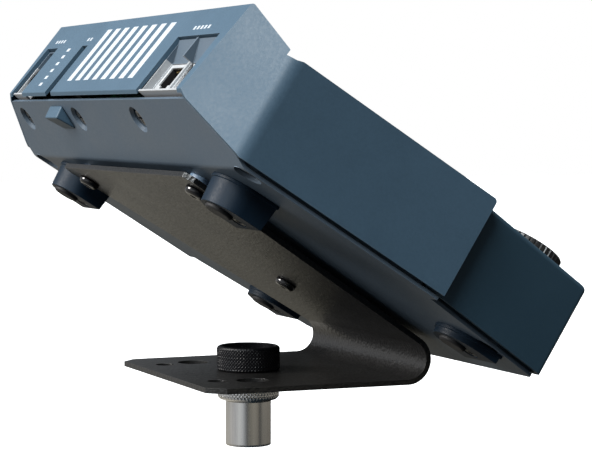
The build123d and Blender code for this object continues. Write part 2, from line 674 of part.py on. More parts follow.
def knob_controls():
    """Rotary control bodies on the control board, each bored for its shaft."""
    top = CONTROL_BOARD_Z + BOARD
    bodies = []
    for y in KNOB_Y:
        body = block(KNOB_X - 5.5, KNOB_X + 5.5, y - 6, y + 6, top + TOUCH, top + 5.0)
        body -= rod(KNOB_X, y, top + 2.9, top + 6, SHAFT_RADIUS + 0.05)
        bodies.append(body)
    return group(bodies)


# ---- boards and their hardware ----
def control_board():
    half = SHELL_FRONT_HALF - 4
    base = CONTROL_BOARD_Z
    return plan_prism([(14, -half), (136, -half), (136, half), (14, half)], base, base + BOARD, 2.0)


def main_board():
    base = MAIN_BOARD_Z
    return plan_prism([(9, -98), (78, -98), (78, 98), (9, 98)], base, base + BOARD, 1.5)


def post_places():
    return [(14.0, -72.0), (14.0, 72.0), (70.0, -88.0), (70.0, 88.0)]


def board_posts():
    """Threaded posts: pan to main board, and main board to control board."""
    floor = -PAN_DROP + SHEET
    posts = []
    for x, y in post_places():
        posts.append(rod(x, y, floor + TOUCH, MAIN_BOARD_Z - TOUCH, 2.8))
    for x, y in ((20.0, -60.0), (20.0, 60.0), (74.0, -70.0), (74.0, 70.0)):
        posts.append(rod(x, y, MAIN_BOARD_Z + BOARD + TOUCH, CONTROL_BOARD_Z - TOUCH, 2.8))
    return group(posts)


def board_screws():
    top = MAIN_BOARD_Z + BOARD
    return group(rod(x, y, top + TOUCH, top + 1.8, 2.6) - rod(x, y, top + 1.0, top + 3, 1.1)
                 for x, y in post_places())


# ---- every node ----
def build_nodes():
    nodes = {
        "cover": cover(),
        "base_pan": base_pan(),
        "front_shell": front_shell(),
        "control_overlay": control_overlay(),
        "connector_bezels": connector_bezels(),
        "connector_board": connector_board(),
        "network_jack_1": network_jack(JACK_Y[0]),
        "network_jack_2": network_jack(JACK_Y[1]),
        "jack_contacts": jack_contacts(),
        "phone_jack": phone_jack(),
        "power_inlet": power_inlet(),
        "cable_hook": cable_hook(),
        "cover_screws": cover_screws(),
        "foot_screws": foot_screws(),
        "bracket_spacers": bracket_spacers(),
        "bracket_screws": bracket_screws(),
        "control_board": control_board(),
        "main_board": main_board(),
        "board_posts": board_posts(),
        "board_screws": board_screws(),
        "indicator_lenses": indicator_lenses(),
        "knob_controls": knob_controls(),
    }
    for index, (x, y, height) in enumerate(foot_places(), start=1):
        nodes[f"foot_{index}"] = foot(x, y, height)
        nodes[f"foot_pad_{index}"] = foot_pad(x, y, height)
    for index, (x, y) in enumerate(button_places(), start=1):
        nodes[f"channel_button_{index:02d}"] = channel_button(x, y, HOOD_HEIGHT)
    for index, (x, y) in enumerate(function_places(), start=1):
        nodes[f"function_button_{index}"] = channel_button(x, y, SHELL_HEIGHT)
    for index, y in enumerate(KNOB_Y, start=1):
        nodes[f"knob_{index}"] = knob(y)
        nodes[f"knob_shaft_{index}"] = knob_shaft(y)
    switches = [button_switch(x, y, HOOD_HEIGHT) for x, y in button_places()]
    switches += [button_switch(x, y, SHELL_HEIGHT) for x, y in function_places()]
    nodes["button_switches"] = group(switches)
    nodes = {name: place(shape) for name, shape in nodes.items()}
    nodes["bracket"] = bracket()
    nodes["stand_tube"] = stand_tube()
    nodes["stand_collar"] = stand_collar()
    nodes["stand_stud"] = stand_stud()
    nodes["stand_nut"] = stand_nut()
    return nodes


os.makedirs("parts", exist_ok=True)
for name, shape in build_nodes().items():
    export_step(shape, f"parts/{name}.step")
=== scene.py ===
import math

import bmesh
import bpy
from mathutils import Matrix, Vector


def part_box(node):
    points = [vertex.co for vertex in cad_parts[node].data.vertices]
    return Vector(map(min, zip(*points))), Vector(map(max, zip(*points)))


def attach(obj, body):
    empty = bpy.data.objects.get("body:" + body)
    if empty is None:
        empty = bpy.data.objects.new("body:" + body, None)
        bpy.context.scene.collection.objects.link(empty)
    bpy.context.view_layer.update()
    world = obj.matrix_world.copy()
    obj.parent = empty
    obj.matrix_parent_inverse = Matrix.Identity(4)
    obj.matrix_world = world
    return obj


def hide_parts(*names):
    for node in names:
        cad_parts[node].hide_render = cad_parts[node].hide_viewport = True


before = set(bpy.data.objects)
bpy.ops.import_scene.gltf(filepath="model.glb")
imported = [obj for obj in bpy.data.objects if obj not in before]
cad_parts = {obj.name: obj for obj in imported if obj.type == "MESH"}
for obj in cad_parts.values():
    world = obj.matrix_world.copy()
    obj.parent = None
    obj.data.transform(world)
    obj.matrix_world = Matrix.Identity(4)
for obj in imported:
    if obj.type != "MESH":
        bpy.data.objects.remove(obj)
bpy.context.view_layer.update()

MM = 0.001

# ---- driving dimensions: mm, or metres where they carry * MM ----
# the console's own frame: x from the rear fold to the front, y across, z square to the bottom;
# its point STAND_AXIS sits on the stand's axis at the top of the tube
TILT = math.radians(32.5)
STAND_AXIS = Vector((95.6, 0.0, -52.8)) * MM
TUBE_LENGTH = 17.5 * MM
TUBE_TOP = Matrix.Translation((0, 0, TUBE_LENGTH))
CONSOLE = TUBE_TOP @ Matrix.Rotation(TILT, 4, "Y") @ Matrix.Translation(-STAND_AXIS)

# the rear face's frame: y across, z up the face from its lower edge, x into the console
FACE_LOW = Vector((-23.0, 0.0, 11.8)) * MM
FACE_LEAN = math.atan2(5.0, 36.8)
FACE = CONSOLE @ Matrix.Translation(FACE_LOW) @ Matrix.Rotation(FACE_LEAN, 4, "Y")
FACE_UP = FACE.to_3x3() @ Vector((0, 0, 1))
FACE_IN = FACE.to_3x3() @ Vector((1, 0, 0))

# tops and places of the panel, buttons and knobs in the console's frame, as in the part's source
SHELL_TOP = 36.0
PANEL_TOP = 38.5
BUTTON_ROWS = (34.0, 62.0)
BUTTON_COLUMNS = 8
BUTTON_PITCH = 24.0
KNOB_X = 126.0
KNOB_Y = (-81.5, 0.0, 81.5)
KNOB_RADIUS = 14.0
KNOB_TOP = 41.2
KNOB_RANGE = 150

# ---- materials ----
BROAD_SCALE = 38.0  # slow drift of tone, waves per metre
WEAR_SCALE = 260.0  # breaks up the worn edges, waves per metre
NOISE_SUM = (0.7, 1.3)  # where the broad and the fine noise together mostly lie
EDGE_TURN = (0.985, 0.90)  # rounded against flat normal, from an even face to a sharp edge
WEAR_GAPS = (0.42, 0.62)
WEAR_LEAST = 0.15
ZONE_BLUR = 0.1 * MM


class Nodes:
    """Small helper that adds and links shader nodes."""

    def __init__(self, tree):
        self.tree = tree
        self.tree.nodes.clear()

    def add(self, kind, inputs=None, **settings):
        """Adds a node; inputs that are sockets are linked, and the others are set."""
        node = self.tree.nodes.new("ShaderNode" + kind)
        for key, value in settings.items():
            setattr(node, key, value)
        for key, value in (inputs or {}).items():
            if isinstance(value, bpy.types.NodeSocket):
                self.tree.links.new(value, node.inputs[key])
            else:
                node.inputs[key].default_value = value
        return node

    def ramp(self, factor, stops):
        """A colour ramp from (place, colour) stops."""
        node = self.add("ValToRGB", {"Fac": factor})
        line = node.color_ramp.elements
        while len(line) < len(stops):
            line.new(0.5)
        for element, (place, color) in zip(line, stops):
            element.position = place
            element.color = color if len(color) == 4 else (*color, 1.0)
        return node.outputs["Color"]

    def noise(self, vector, scale, detail=3.0, rough=0.5):
        inputs = {"Vector": vector, "Scale": scale, "Detail": detail, "Roughness": rough}
        return self.add("TexNoise", inputs).outputs["Fac"]

    def span(self, value, low, high, out_low, out_high):
        """Maps low..high to out_low..out_high, and stays within them."""
        node = self.add("MapRange", {"Value": value, "From Min": low, "From Max": high,
                                     "To Min": out_low, "To Max": out_high})
        return node.outputs["Result"]

    def mix(self, factor, first, second):
        return self.add("MixRGB", {"Fac": factor, "Color1": first, "Color2": second}).outputs["Color"]


def shade(color, factor):
    return tuple(min(1.0, c * factor) for c in color[:3]) + (1.0,)


def worn(kit, where, tone, wear, wear_size):
    """Mixes the wear colour in along edges, broken up by noise."""
    soft = kit.add("Bevel", {"Radius": wear_size * MM}, samples=6).outputs["Normal"]
    flat = kit.add("NewGeometry").outputs["Normal"]
    turn = kit.add("VectorMath", {0: soft, 1: flat}, operation="DOT_PRODUCT").outputs["Value"]
    edge = kit.span(turn, *EDGE_TURN, 0.0, 1.0)
    broken = kit.span(kit.noise(where, WEAR_SCALE, 3.0, 0.7), *WEAR_GAPS, WEAR_LEAST, 1.0)
    mask = kit.add("Math", {0: edge, 1: broken}, operation="MULTIPLY").outputs[0]
    return kit.mix(mask, tone, (*wear, 1.0))


def zoned(kit, where, tone, metallic, zone):
    """The colour and metal socket of a piece that has another finish beyond a plane."""
    axis, reach, other, other_metal = zone
    along = kit.add("VectorMath", {0: where, 1: axis}, operation="DOT_PRODUCT").outputs["Value"]
    start = FACE.translation.dot(axis) + reach * MM
    beyond = kit.span(along, start - ZONE_BLUR, start + ZONE_BLUR, 0.0, 1.0)
    return kit.mix(beyond, tone, (*other, 1.0)), kit.span(beyond, 0.0, 1.0, metallic, other_metal)


def cell_relief(kit, scaled, fine, grain_size):
    """Rounded cells of grain_size mm under the fine noise, as on a wrinkle coat."""
    inputs = {"Vector": scaled, "Scale": 1000.0 / grain_size}
    relief = kit.add("TexVoronoi", inputs, feature="SMOOTH_F1").outputs["Distance"]
    return kit.add("Math", {0: relief, 1: fine}, operation="ADD").outputs[0]


def surface(name, color, rough, metallic=0.0, grain=0.25, grain_size=0.6, depth=0.02, tint=0.10, wear=None,
            wear_size=0.35, coat=0.0, specular=0.5, stretch=(1, 1, 1), cells=False, rough_span=0.08,
            zone=None):
    """A finish with colour variation, uneven gloss, a fine relief of grain_size mm and wear along edges.

    zone is (direction, distance in mm from the rear face's lower edge, colour, metallic) of what lies beyond.
    """
    made = bpy.data.materials.new(name)
    made.use_nodes = True
    made.diffuse_color = (*color[:3], 1.0)
    kit = Nodes(made.node_tree)
    where = kit.add("TexCoord").outputs["Object"]
    scaled = kit.add("Mapping", {"Vector": where, "Scale": stretch}).outputs["Vector"]
    broad = kit.noise(scaled, BROAD_SCALE, 4.0)
    fine = kit.noise(scaled, 1000.0 / grain_size * 0.5, 2.0, 0.6)
    mixed = kit.add("Math", {0: broad, 1: fine}, operation="ADD").outputs[0]
    tones = [(0.0, shade(color, 1 - tint)), (1.0, shade(color, 1 + tint))]
    tone = kit.ramp(kit.span(mixed, *NOISE_SUM, 0.0, 1.0), tones)
    gloss = kit.span(mixed, *NOISE_SUM, rough - rough_span, rough + rough_span)
    if wear is not None:
        tone = worn(kit, where, tone, wear, wear_size)
    metal = metallic
    if zone is not None:
        tone, metal = zoned(kit, where, tone, metallic, zone)
    relief = cell_relief(kit, scaled, fine, grain_size) if cells else fine
    bump = kit.add("Bump", {"Strength": grain, "Distance": depth * MM, "Height": relief}).outputs["Normal"]
    shader = kit.add("BsdfPrincipled", {"Base Color": tone, "Roughness": gloss, "Metallic": metal,
                                        "Normal": bump, "Coat Weight": coat, "Specular IOR Level": specular})
    kit.add("OutputMaterial", {"Surface": shader.outputs[0]})
    return made


# powder paint on the sheet metal
POWDER = {"grain": 0.35, "grain_size": 0.5, "depth": 0.03, "tint": 0.07}
PAINT = surface("blue_grey_powder_paint", (0.040, 0.076, 0.112), 0.50, wear=(0.09, 0.13, 0.17),
                specular=0.36, **POWDER)
# the front shell's paint is the hood's paint made darker: painted shade for the shade on the front shell
SHADED_FRONT_PAINT = surface("blue_grey_powder_paint_front_painted_shade", (0.024, 0.055, 0.082), 0.50, wear=(0.07, 0.11, 0.15),
                      specular=0.30, **POWDER)
PAN_PAINT = surface("blue_grey_powder_paint_pan", (0.064, 0.092, 0.124), 0.48, wear=(0.12, 0.16, 0.20),
                    specular=0.40, **POWDER)
# black coats
WRINKLE = surface("black_wrinkle_coat", (0.007, 0.0068, 0.0065), 0.34, grain=0.95, grain_size=1.0,
                  depth=0.16, tint=0.25, wear=(0.035, 0.033, 0.03), cells=True, rough_span=0.06)
NUT_BLACK = surface("black_oxide_steel", (0.002, 0.002, 0.003), 0.36, grain_size=0.3, depth=0.01, tint=0.2,
                    wear=(0.022, 0.022, 0.022), specular=0.16)
SCREW_BLACK = surface("black_zinc_screw", (0.010, 0.010, 0.011), 0.22, grain=0.15, grain_size=0.25,
                      depth=0.006, tint=0.2, wear=(0.12, 0.12, 0.12), coat=0.3)
# mouldings
# the feet's moulding has the paint's blue; its colour is darkened almost to black as painted shade under the
# console
SHADED_FOOT = surface("moulded_foot_painted_shade", (0.003, 0.011, 0.022), 0.50, grain=0.18, grain_size=0.5, depth=0.012,
               tint=0.12, wear=(0.02, 0.045, 0.07), specular=0.16)
RUBBER = surface("black_rubber", (0.014, 0.014, 0.015), 0.62, grain=0.4, grain_size=0.4, tint=0.2,
                 specular=0.35)
NYLON = surface("pale_blue_nylon", (0.14, 0.22, 0.32), 0.40, grain=0.2, grain_size=0.4, depth=0.01,
                tint=0.08)
BLACK_PLASTIC = surface("black_moulded_plastic", (0.014, 0.014, 0.015), 0.42, grain=0.3, grain_size=0.35,
                        depth=0.012, tint=0.15)
KNOB_BLACK = surface("black_knob_plastic", (0.012, 0.012, 0.012), 0.38, grain=0.3, grain_size=0.3,
                     depth=0.012, tint=0.15, wear=(0.05, 0.05, 0.05))
CAP = surface("grey_button_cap", (0.23, 0.25, 0.27), 0.46, grain=0.35, grain_size=0.35, depth=0.015,
              tint=0.06, wear=(0.32, 0.34, 0.36))
LENS = surface("green_indicator_lens", (0.05, 0.20, 0.06), 0.12, grain=0.05, grain_size=0.5, depth=0.004,
               coat=0.6)
# bare and plated metal
STEEL = surface("satin_plated_steel", (0.74, 0.74, 0.74), 0.28, metallic=1.0, grain=0.12, grain_size=0.3,
                depth=0.006, tint=0.06)
TUBE = surface("brushed_tube_steel", (0.76, 0.745, 0.715), 0.24, metallic=1.0, grain=0.22, grain_size=0.25,
               depth=0.006, stretch=(1, 1, 0.02), rough_span=0.05)
CHROME = surface("bright_plated_collar", (0.86, 0.85, 0.83), 0.26, metallic=1.0, grain=0.12, grain_size=0.3,
                 depth=0.005, tint=0.08)
BRASS = surface("gold_contact", (0.83, 0.62, 0.28), 0.24, metallic=1.0, grain=0.1, grain_size=0.3,
                depth=0.004)
TRAY = surface("tinned_tray_with_painted_ramps", (0.34, 0.35, 0.36), 0.44, metallic=0.3, grain_size=0.3,
               depth=0.01, wear=(0.48, 0.50, 0.52), wear_size=0.3,
               zone=(FACE_UP, 15.0, (0.058, 0.082, 0.108), 0.0))
JACK_METAL = surface("tinned_jack_shield_with_black_insert", (0.40, 0.41, 0.42), 0.42, metallic=0.3,
                     grain_size=0.4, depth=0.012, tint=0.12, wear=(0.52, 0.53, 0.54),
                     zone=(FACE_IN, 5.0, (0.010, 0.010, 0.011), 0.0))
# panel film, ink and boards
PANEL = surface("printed_panel_film", (0.030, 0.042, 0.056), 0.48, grain=0.35, grain_size=0.35, depth=0.015,
                tint=0.08)
PRINT = surface("white_screen_print", (0.36, 0.39, 0.42), 0.50, grain=0.2, grain_size=0.3, depth=0.006,
                tint=0.06)
POINTER = surface("white_pointer_fill", (0.62, 0.64, 0.66), 0.50, grain=0.2, grain_size=0.3, depth=0.006,
                  tint=0.05)
BOARD = surface("green_solder_mask", (0.012, 0.11, 0.045), 0.35, grain=0.3, grain_size=0.8, tint=0.2)

# ---- CAD nodes: better materials, and rounded edges from modifiers ----
NODE_FINISH = {
    "cover": PAINT, "base_pan": PAN_PAINT, "front_shell": SHADED_FRONT_PAINT, "cable_hook": PAINT,
    "control_overlay": PANEL, "connector_bezels": TRAY, "connector_board": BOARD, "control_board": BOARD,
    "main_board": BOARD, "network_jack_1": JACK_METAL, "network_jack_2": JACK_METAL, "jack_contacts": BRASS,
    "phone_jack": BLACK_PLASTIC, "power_inlet": BLACK_PLASTIC, "cover_screws": SCREW_BLACK,
    "foot_screws": SCREW_BLACK, "bracket_screws": SCREW_BLACK, "bracket_spacers": NYLON,
    "board_posts": STEEL, "board_screws": STEEL, "indicator_lenses": LENS, "knob_controls": BLACK_PLASTIC,
    "button_switches": BLACK_PLASTIC, "bracket": WRINKLE, "stand_tube": TUBE, "stand_collar": CHROME,
    "stand_stud": STEEL, "stand_nut": NUT_BLACK,
}
PREFIX_FINISH = {"foot_pad_": RUBBER, "foot_": SHADED_FOOT, "channel_button_": CAP, "function_button_": CAP,
                 "knob_shaft_": STEEL, "knob_": KNOB_BLACK}
NODE_EDGE = {"cover": 0.35, "front_shell": 0.35, "base_pan": 0.35, "bracket": 0.35, "cable_hook": 0.6,
             "connector_bezels": 0.15, "network_jack_1": 0.12, "network_jack_2": 0.12, "phone_jack": 0.25,
             "power_inlet": 0.15, "control_overlay": 0.12, "cover_screws": 0.12, "bracket_spacers": 0.3,
             "foot_screws": 0.12}
PREFIX_EDGE = {"foot_pad_": 0.2, "foot_": 0.7, "channel_button_": 0.4, "function_button_": 0.4,
               "knob_": 0.12}
WELD_GAP = 0.002 * MM
FLAT_ANGLE = math.radians(0.4)
BEVEL_ANGLE = math.radians(28.0)
SMOOTH_ANGLE = math.radians(32)


def look_up(name, exact, prefixes, otherwise):
    """What a node's name, or else the start of its name, stands for."""
    if name in exact:
        return exact[name]
    for prefix, value in prefixes.items():
        if name.startswith(prefix):
            return value
    return otherwise


def round_edges(piece, width):
    """Welds the mesh, merges flat facets, rounds the sharp edges by width mm and evens the shading."""
    piece.data.polygons.foreach_set("use_smooth", [True] * len(piece.data.polygons))
    weld = piece.modifiers.new("weld", "WELD")
    weld.merge_threshold = WELD_GAP
    flat = piece.modifiers.new("flat", "DECIMATE")
    flat.decimate_type = "DISSOLVE"
    flat.angle_limit = FLAT_ANGLE
    if width:
        bevel = piece.modifiers.new("round", "BEVEL")
        bevel.width = width * MM
        bevel.segments = 3
        bevel.limit_method = "ANGLE"
        bevel.angle_limit = BEVEL_ANGLE
        bevel.use_clamp_overlap = True
    even = piece.modifiers.new("even", "WEIGHTED_NORMAL")
    even.keep_sharp = True


for name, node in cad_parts.items():
    node.data.materials.clear()
    node.data.materials.append(look_up(name, NODE_FINISH, PREFIX_FINISH, BLACK_PLASTIC))
    round_edges(node, look_up(name, NODE_EDGE, PREFIX_EDGE, 0.0))


# ---- mesh helpers for the pieces made here ----
def mesh_piece(name, body, made, build, smooth=True, matrix=None):
    """Runs build(bm) and makes the result a piece that rides on a body."""
    bm = bmesh.new()
    build(bm)
    bmesh.ops.recalc_face_normals(bm, faces=bm.faces)
    data = bpy.data.meshes.new(name)
    bm.to_mesh(data)
    bm.free()
    if matrix is not None:
        data.transform(matrix)
    data.materials.append(made)
    piece = bpy.data.objects.new(name, data)
    bpy.context.scene.collection.objects.link(piece)
    if smooth:
        data.polygons.foreach_set("use_smooth", [True] * len(data.polygons))
        data.set_sharp_from_angle(angle=SMOOTH_ANGLE)
    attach(piece, body)
    return piece


def lathe(bm, profile, steps, bend=None):
    """Turns a closed (radius, height) profile round Z.

    bend(angle, index, radius, height) gives a profile point another radius.
    """
    rings = []
    for step in range(steps):
        angle = 2 * math.pi * step / steps
        ring = []
        for index, (radius, height) in enumerate(profile):
            r = bend(angle, index, radius, height) if bend else radius
            ring.append(bm.verts.new((r * math.cos(angle), r * math.sin(angle), height)))
        rings.append(ring)
    count = len(profile)
    for step in range(steps):
        here, there = rings[step], rings[(step + 1) % steps]
        for index in range(count):
            following = (index + 1) % count
            bm.faces.new((here[index], there[index], there[following], here[following]))


def rim(radius, end, points):
    """Profile points, each given in mm as (inward from a radius, upward from an end)."""
    return [(radius - inward * MM, end + upward * MM) for inward, upward in points]


def wall(radius, low, high, count):
    """Profile points straight up a radius."""
    return [(radius, low + (high - low) * i / count) for i in range(count + 1)]


KNURL_FADE = 12  # full depth is reached a twelfth of the height in from each end
KNURL_SHARE = 0.9


def knurl(low, high, outer, depth, teeth, rows):
    """Radius of a diamond knurl between two heights, fading out towards both ends."""
    def radius(angle, index, r, height):
        if r < outer - 1e-6:
            return r
        up = (height - low) / (high - low)
        edge = min(1.0, min(up, 1 - up) * KNURL_FADE)
        across = angle / (2 * math.pi) * teeth
        rising = abs(((across + up * rows) % 1.0) * 2 - 1)
        falling = abs(((across - up * rows) % 1.0) * 2 - 1)
        return r - depth * (1 - min(rising, falling)) * edge * KNURL_SHARE
    return radius


CLEAR = 0.02 * MM  # keeps the nut and the collar just inside the CAD nodes they replace
BROKEN_EDGE = ((0.0, 0.3), (-0.3, 0.0))  # at the lower mouth of a bore

# knurled nut: rounded shoulders, diamond knurl, plain bore and open counterbore
nut_low, nut_high = (c.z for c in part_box("stand_nut"))
NUT_OUTER = 12.25 * MM
NUT_BORE = 8.0 * MM
NUT_MOUTH = 10.2 * MM
NUT_MOUTH_DEPTH = 3.0 * MM
NUT_KNURL_DEPTH = 0.38 * MM
NUT_TEETH = 60


def build_nut(bm):
    low, high = nut_low + CLEAR, nut_high - CLEAR
    profile = rim(NUT_BORE, low, BROKEN_EDGE)
    profile += rim(NUT_OUTER, low, ((0.9, 0.0), (0.35, 0.25)))
    profile += wall(NUT_OUTER, low + 0.7 * MM, high - 0.9 * MM, 30)
    profile += rim(NUT_OUTER, high, ((0.45, -0.35), (0.9, -0.08), (1.2, 0.0)))
    profile += rim(NUT_MOUTH, high, ((-0.4, 0.0), (0.0, -0.35), (0.0, -2.9)))
    profile += rim(NUT_BORE, high - NUT_MOUTH_DEPTH, ((-0.3, 0.0), (0.0, -0.3)))
    lathe(bm, profile, 8 * NUT_TEETH, knurl(low, high, NUT_OUTER, NUT_KNURL_DEPTH, NUT_TEETH, 7))


nut = mesh_piece("knurled_nut", "nut", NUT_BLACK, build_nut)
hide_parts("stand_nut")

# knurled collar under the plate
collar_low, collar_high = (c.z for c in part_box("stand_collar"))
COLLAR_OUTER = 11.95 * MM
COLLAR_BORE = 7.97 * MM
COLLAR_KNURL_DEPTH = 0.42 * MM
COLLAR_TEETH = 54


def build_collar(bm):
    low, high = collar_low + CLEAR, collar_high - CLEAR
    profile = rim(COLLAR_BORE, low, BROKEN_EDGE)
    profile += rim(COLLAR_OUTER, low, ((2.2, 0.0), (1.0, 0.35), (0.35, 1.0)))
    profile += wall(COLLAR_OUTER, low + 1.6 * MM, high - 0.8 * MM, 24)
    profile += rim(COLLAR_OUTER, high, ((0.5, 0.0),))
    profile += rim(COLLAR_BORE, high, ((-0.3, 0.0), (0.0, -0.3)))
    lathe(bm, profile, 8 * COLLAR_TEETH,
          knurl(low, high, COLLAR_OUTER, COLLAR_KNURL_DEPTH, COLLAR_TEETH, 6))


collar = mesh_piece("knurled_collar", "stand", CHROME, build_collar)
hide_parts("stand_collar")

# plain tube with rounded lips
tube_low, tube_high = (c.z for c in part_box("stand_tube"))
TUBE_OUTER = 8.75 * MM
TUBE_INNER = 7.25 * MM


def build_tube(bm):
    profile = rim(TUBE_INNER, tube_low, ((0.0, 0.35), (-0.35, 0.05)))
    profile += rim(TUBE_OUTER, tube_low, ((0.35, 0.01), (0.1, 0.12), (0.0, 0.35)))
    profile += wall(TUBE_OUTER, tube_low + 1.0 * MM, tube_high - 0.4 * MM, 4)
    profile += rim(TUBE_OUTER, tube_high, ((0.35, -0.02),))
    profile += rim(TUBE_INNER, tube_high, ((0.0, -0.02),))
    lathe(bm, profile, 160)


tube = mesh_piece("brushed_tube", "stand", TUBE, build_tube)
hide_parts("stand_tube")

# threaded stud: a helical thread above the tube, a plain socket inside it, hollow through
stud_low, stud_high = (c.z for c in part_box("stand_stud"))
PITCH = 25.4 / 27 * MM
CREST = 7.90 * MM
THREAD_DEPTH = 0.50 * MM
THREAD_STEPS = 6  # profile points in one pitch
STUD_INNER = 4.5 * MM
STUD_SOCKET = 7.2 * MM


def build_stud(bm):
    start = TUBE_LENGTH + 0.6 * MM
    rows = int((stud_high - 0.9 * MM - start) / (PITCH / THREAD_STEPS))
    profile = rim(STUD_INNER, stud_low, BROKEN_EDGE)
    profile += rim(STUD_SOCKET, stud_low, ((0.3, 0.0), (0.0, 0.3)))
    profile += rim(STUD_SOCKET, start, ((0.0, -0.05),))
    first = len(profile)
    profile += [(CREST, start + i * PITCH / THREAD_STEPS) for i in range(rows)]
    profile += rim(CREST, stud_high, ((0.8, -0.02),))
    profile += rim(STUD_INNER, stud_high, ((-0.4, -0.02), (0.0, -0.4)))

    def thread(angle, index, radius, height):
        if index < first or index >= first + rows:
            return radius
        turn = ((height - start) / PITCH - angle / (2 * math.pi)) % 1.0
        return CREST - THREAD_DEPTH * abs(turn * 2 - 1)

    lathe(bm, profile, 120, thread)


stud = mesh_piece("threaded_stud", "stand", STEEL, build_stud)
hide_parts("stand_stud")

# ---- printed marks, as thin raised ink ----
INK = 0.05  # thickness in mm
INK_GAP = 0.01  # lifts the dial marks off the painted shell


def slab(bm, top, low):
    """A closed slab between two rings of four corners, given in mm."""
    top = [bm.verts.new([place * MM for place in corner]) for corner in top]
    low = [bm.verts.new([place * MM for place in corner]) for corner in low]
    bm.faces.new(top)
    bm.faces.new(low[::-1])
    for i in range(4):
        j = (i + 1) % 4
        bm.faces.new((top[i], low[i], low[j], top[j]))


def ribbon(bm, points, width, height):
    """A flat strip along points in the x-y plane, its top at height."""
    half = width / 2
    for (x0, y0), (x1, y1) in zip(points, points[1:]):
        run = math.hypot(x1 - x0, y1 - y0)
        nx, ny = -(y1 - y0) / run * half, (x1 - x0) / run * half
        ex, ey = ny * 0.9, -nx * 0.9
        corners = [(x0 - ex + nx, y0 - ey + ny), (x1 + ex + nx, y1 + ey + ny),
                   (x1 + ex - nx, y1 + ey - ny), (x0 - ex - nx, y0 - ey - ny)]
        slab(bm, [(x, y, height) for x, y in corners], [(x, y, height - INK) for x, y in corners])


def face_mark(bm, y, low, high, width):
    """A mark on the rear face: across y, from low to high up the face, standing one ink layer proud."""
    half = width / 2
    corners = [(y - half, low), (y + half, low), (y + half, high), (y - half, high)]
    slab(bm, [(-INK, a, b) for a, b in corners], [(0.0, a, b) for a, b in corners])


# a line above and below each channel button, and a frame round them all
LINE_OFFSETS = (7.0, -11.2)
LINE_HALF = 8.5
LINE_WIDTH = 0.35
FRAME_X = (12.5, 79.5)
FRAME_Y = 101.5
FRAME_WIDTH = 0.45


def build_panel_print(bm):
    top = PANEL_TOP + INK
    for x in BUTTON_ROWS:
        for column in range(BUTTON_COLUMNS):
            y = (column - (BUTTON_COLUMNS - 1) / 2) * BUTTON_PITCH
            for offset in LINE_OFFSETS:
                ribbon(bm, [(x + offset, y - LINE_HALF), (x + offset, y + LINE_HALF)], LINE_WIDTH, top)
    x0, x1 = FRAME_X
    corners = [(x0, -FRAME_Y), (x1, -FRAME_Y), (x1, FRAME_Y), (x0, FRAME_Y), (x0, -FRAME_Y)]
    ribbon(bm, corners, FRAME_WIDTH, top)


mesh_piece("panel_print", "console", PRINT, build_panel_print, smooth=False, matrix=CONSOLE)

# eleven marks round each knob, longer at the ends and in the middle
DIAL_MARKS = 11
LONG_MARKS = (0, 5, 10)
MARK_GAP = 1.2
LONG_REACH = 2.4
SHORT_REACH = 1.5
MARK_WIDTH = 0.45


def build_dial_marks(bm):
    top = SHELL_TOP + INK + INK_GAP
    inner = KNOB_RADIUS + MARK_GAP
    for y in KNOB_Y:
        for index in range(DIAL_MARKS):
            turn = math.radians(180 + KNOB_RANGE - index * 2 * KNOB_RANGE / (DIAL_MARKS - 1))
            outer = inner + (LONG_REACH if index in LONG_MARKS else SHORT_REACH)
            ends = [(KNOB_X + r * math.cos(turn), y + r * math.sin(turn)) for r in (inner, outer)]
            ribbon(bm, ends, MARK_WIDTH, top)


mesh_piece("dial_marks", "console", PRINT, build_dial_marks, smooth=False, matrix=CONSOLE)

# pale paint on the floor of each knob's pointer groove; it turns with the knob
POINTER_REACH = (-12.6, -3.6)
POINTER_WIDTH = 0.9
POINTER_DEPTH = 0.44


def pointer_builder(y):
    def build(bm):
        ribbon(bm, [(KNOB_X + reach, y) for reach in POINTER_REACH], POINTER_WIDTH, KNOB_TOP - POINTER_DEPTH)
    return build


for number, y in enumerate(KNOB_Y, start=1):
    mesh_piece(f"knob_pointer_{number}", f"knob_{number}", POINTER, pointer_builder(y),
               smooth=False, matrix=CONSOLE)

# rear face: plain white bars, dashes above the openings and a column of marks by the slot
BARS = 8
BAR_START = 31.0
BAR_PITCH = 10.2
BAR_SPAN = (5.5, 31.5)
BAR_WIDTH = 5.4
DASH_ROWS = ((-66.0, -83.0, 27.6), (94.0, 80.0, 27.4), (51.5, 44.5, 27.2))  # from y, to y, height
DASH_PITCH = 3.4
DASH_HALF = 0.8
DASH_WIDTH = 1.9
COLUMN_MARKS = 6
COLUMN_Y = 66.0
COLUMN_PITCH = 3.6
COLUMN_SPAN = (3.5, 5.1)
COLUMN_WIDTH = 3.4


def build_face_print(bm):
    for index in range(BARS):
        face_mark(bm, BAR_START - index * BAR_PITCH, *BAR_SPAN, BAR_WIDTH)
    for y0, y1, middle in DASH_ROWS:
        steps = max(2, int(abs(y1 - y0) / DASH_PITCH))
        for step in range(steps):
            y = y0 + (y1 - y0) * (step + 0.5) / steps
            face_mark(bm, y, middle - DASH_HALF, middle + DASH_HALF, DASH_WIDTH)
    for step in range(COLUMN_MARKS):
        rise = step * COLUMN_PITCH
        face_mark(bm, COLUMN_Y, COLUMN_SPAN[0] + rise, COLUMN_SPAN[1] + rise, COLUMN_WIDTH)


mesh_piece("face_print", "console", PRINT, build_face_print, smooth=False, matrix=FACE)

# ---- floor, light and camera ----
FLOOR_HALF = 30.0
FLOOR_Z = -0.9


